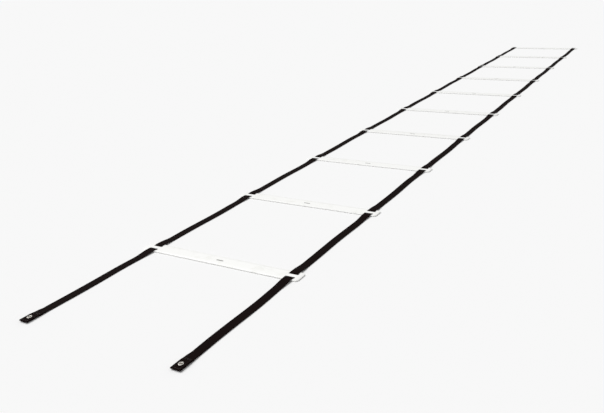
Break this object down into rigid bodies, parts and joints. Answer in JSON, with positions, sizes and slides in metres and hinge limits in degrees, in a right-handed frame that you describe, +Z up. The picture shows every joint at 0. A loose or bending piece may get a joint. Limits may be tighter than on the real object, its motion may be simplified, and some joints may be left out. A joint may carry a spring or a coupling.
{
  "type": "agility ladder",
  "caption": "Flat agility ladder for footwork drills: slotted moulded rungs threaded on two parallel webbing straps, with a metal eyelet at the near end of each strap.",
  "frame": {"origin": "on the floor, under the middle of the whole ladder laid flat", "axes": "+Y along the straps, away from the end with the long tails and eyelets; +X along the rungs; +Z up from the floor"},
  "size_m": [0.5, 4.018, 0.0058],
  "materials": {
    "rung_plastic": "satin",
    "strap_webbing": "matte",
    "eyelet_metal": "polished"
  },
  "bodies": {
    "section_01": {"left_strap_01": "strap_webbing", "right_strap_01": "strap_webbing"},
    "section_02": {"left_strap_02": "strap_webbing", "right_strap_02": "strap_webbing"},
    "section_03": {"left_strap_03": "strap_webbing", "right_strap_03": "strap_webbing"},
    "section_04": {"left_strap_04": "strap_webbing", "right_strap_04": "strap_webbing"},
    "section_05": {"left_strap_05": "strap_webbing", "right_strap_05": "strap_webbing"},
    "section_06": {"left_strap_06": "strap_webbing", "right_strap_06": "strap_webbing"},
    "section_07": {"left_strap_07": "strap_webbing", "right_strap_07": "strap_webbing"},
    "section_08": {"left_strap_08": "strap_webbing", "right_strap_08": "strap_webbing"},
    "section_09": {"left_strap_09": "strap_webbing", "right_strap_09": "strap_webbing"},
    "section_10": {"left_strap_10": "strap_webbing", "right_strap_10": "strap_webbing"},
    "rung_01": {"rung_01": "rung_plastic"},
    "rung_02": {"rung_02": "rung_plastic"},
    "rung_03": {"rung_03": "rung_plastic"},
    "rung_04": {"rung_04": "rung_plastic"},
    "rung_05": {"rung_05": "rung_plastic"},
    "rung_06": {"rung_06": "rung_plastic"},
    "rung_07": {"rung_07": "rung_plastic"},
    "rung_08": {"rung_08": "rung_plastic"},
    "rung_09": {"rung_09": "rung_plastic"},
    "rung_10": {"rung_10": "rung_plastic"},
    "left_tail": {"left_strap_tail": "strap_webbing", "left_eyelet": "eyelet_metal", "left_eyelet_washer": "eyelet_metal"},
    "right_tail": {"right_strap_tail": "strap_webbing", "right_eyelet": "eyelet_metal", "right_eyelet_washer": "eyelet_metal"}
  },
  "joints": [
    {"name": "fold_01", "type": "hinge", "parent": "section_01", "child": "section_02", "pos_m": [0, -1.429, 0.008], "axis": [1, 0, 0], "range_deg": [0, 176]},
    {"name": "fold_02", "type": "hinge", "parent": "section_02", "child": "section_03", "pos_m": [0, -1.029, -0.004], "axis": [1, 0, 0], "range_deg": [-176, 0]},
    {"name": "fold_03", "type": "hinge", "parent": "section_03", "child": "section_04", "pos_m": [0, -0.629, 0.008], "axis": [1, 0, 0], "range_deg": [0, 176]},
    {"name": "fold_04", "type": "hinge", "parent": "section_04", "child": "section_05", "pos_m": [0, -0.229, -0.004], "axis": [1, 0, 0], "range_deg": [-176, 0]},
    {"name": "fold_05", "type": "hinge", "parent": "section_05", "child": "section_06", "pos_m": [0, 0.171, 0.008], "axis": [1, 0, 0], "range_deg": [0, 176]},
    {"name": "fold_06", "type": "hinge", "parent": "section_06", "child": "section_07", "pos_m": [0, 0.571, -0.004], "axis": [1, 0, 0], "range_deg": [-176, 0]},
    {"name": "fold_07", "type": "hinge", "parent": "section_07", "child": "section_08", "pos_m": [0, 0.971, 0.008], "axis": [1, 0, 0], "range_deg": [0, 176]},
    {"name": "fold_08", "type": "hinge", "parent": "section_08", "child": "section_09", "pos_m": [0, 1.371, -0.004], "axis": [1, 0, 0], "range_deg": [-176, 0]},
    {"name": "fold_09", "type": "hinge", "parent": "section_09", "child": "section_10", "pos_m": [0, 1.771, 0.008], "axis": [1, 0, 0], "range_deg": [0, 176]},
    {"name": "rung_slide_01", "type": "slide", "parent": "section_01", "child": "rung_01", "axis": [0, 1, 0], "range_m": [-0.08, 0.08], "deforming": ["left_strap_01", "right_strap_01"]},
    {"name": "rung_slide_02", "type": "slide", "parent": "section_02", "child": "rung_02", "axis": [0, 1, 0], "range_m": [-0.08, 0.08], "deforming": ["left_strap_02", "right_strap_02"]},
    {"name": "rung_slide_03", "type": "slide", "parent": "section_03", "child": "rung_03", "axis": [0, 1, 0], "range_m": [-0.08, 0.08], "deforming": ["left_strap_03", "right_strap_03"]},
    {"name": "rung_slide_04", "type": "slide", "parent": "section_04", "child": "rung_04", "axis": [0, 1, 0], "range_m": [-0.08, 0.08], "deforming": ["left_strap_04", "right_strap_04"]},
    {"name": "rung_slide_05", "type": "slide", "parent": "section_05", "child": "rung_05", "axis": [0, 1, 0], "range_m": [-0.08, 0.08], "deforming": ["left_strap_05", "right_strap_05"]},
    {"name": "rung_slide_06", "type": "slide", "parent": "section_06", "child": "rung_06", "axis": [0, 1, 0], "range_m": [-0.08, 0.08], "deforming": ["left_strap_06", "right_strap_06"]},
    {"name": "rung_slide_07", "type": "slide", "parent": "section_07", "child": "rung_07", "axis": [0, 1, 0], "range_m": [-0.08, 0.08], "deforming": ["left_strap_07", "right_strap_07"]},
    {"name": "rung_slide_08", "type": "slide", "parent": "section_08", "child": "rung_08", "axis": [0, 1, 0], "range_m": [-0.08, 0.08], "deforming": ["left_strap_08", "right_strap_08"]},
    {"name": "rung_slide_09", "type": "slide", "parent": "section_09", "child": "rung_09", "axis": [0, 1, 0], "range_m": [-0.08, 0.08], "deforming": ["left_strap_09", "right_strap_09"]},
    {"name": "rung_slide_10", "type": "slide", "parent": "section_10", "child": "rung_10", "axis": [0, 1, 0], "range_m": [-0.08, 0.01], "deforming": ["left_strap_10", "right_strap_10"]},
    {"name": "left_tail_fold", "type": "hinge", "parent": "section_01", "child": "left_tail", "pos_m": [-0.222, -1.844, 0.0015], "axis": [-1, 0, 0], "range_deg": [0, 90]},
    {"name": "right_tail_fold", "type": "hinge", "parent": "section_01", "child": "right_tail", "pos_m": [0.222, -1.844, 0.0015], "axis": [-1, 0, 0], "range_deg": [0, 90]}
  ],
  "couplings": [
    {"joint": "fold_02", "follows": "fold_01", "ratio": -1},
    {"joint": "fold_03", "follows": "fold_01", "ratio": 1},
    {"joint": "fold_04", "follows": "fold_01", "ratio": -1},
    {"joint": "fold_05", "follows": "fold_01", "ratio": 1},
    {"joint": "fold_06", "follows": "fold_01", "ratio": -1},
    {"joint": "fold_07", "follows": "fold_01", "ratio": 1},
    {"joint": "fold_08", "follows": "fold_01", "ratio": -1},
    {"joint": "fold_09", "follows": "fold_01", "ratio": 1}
  ]
}
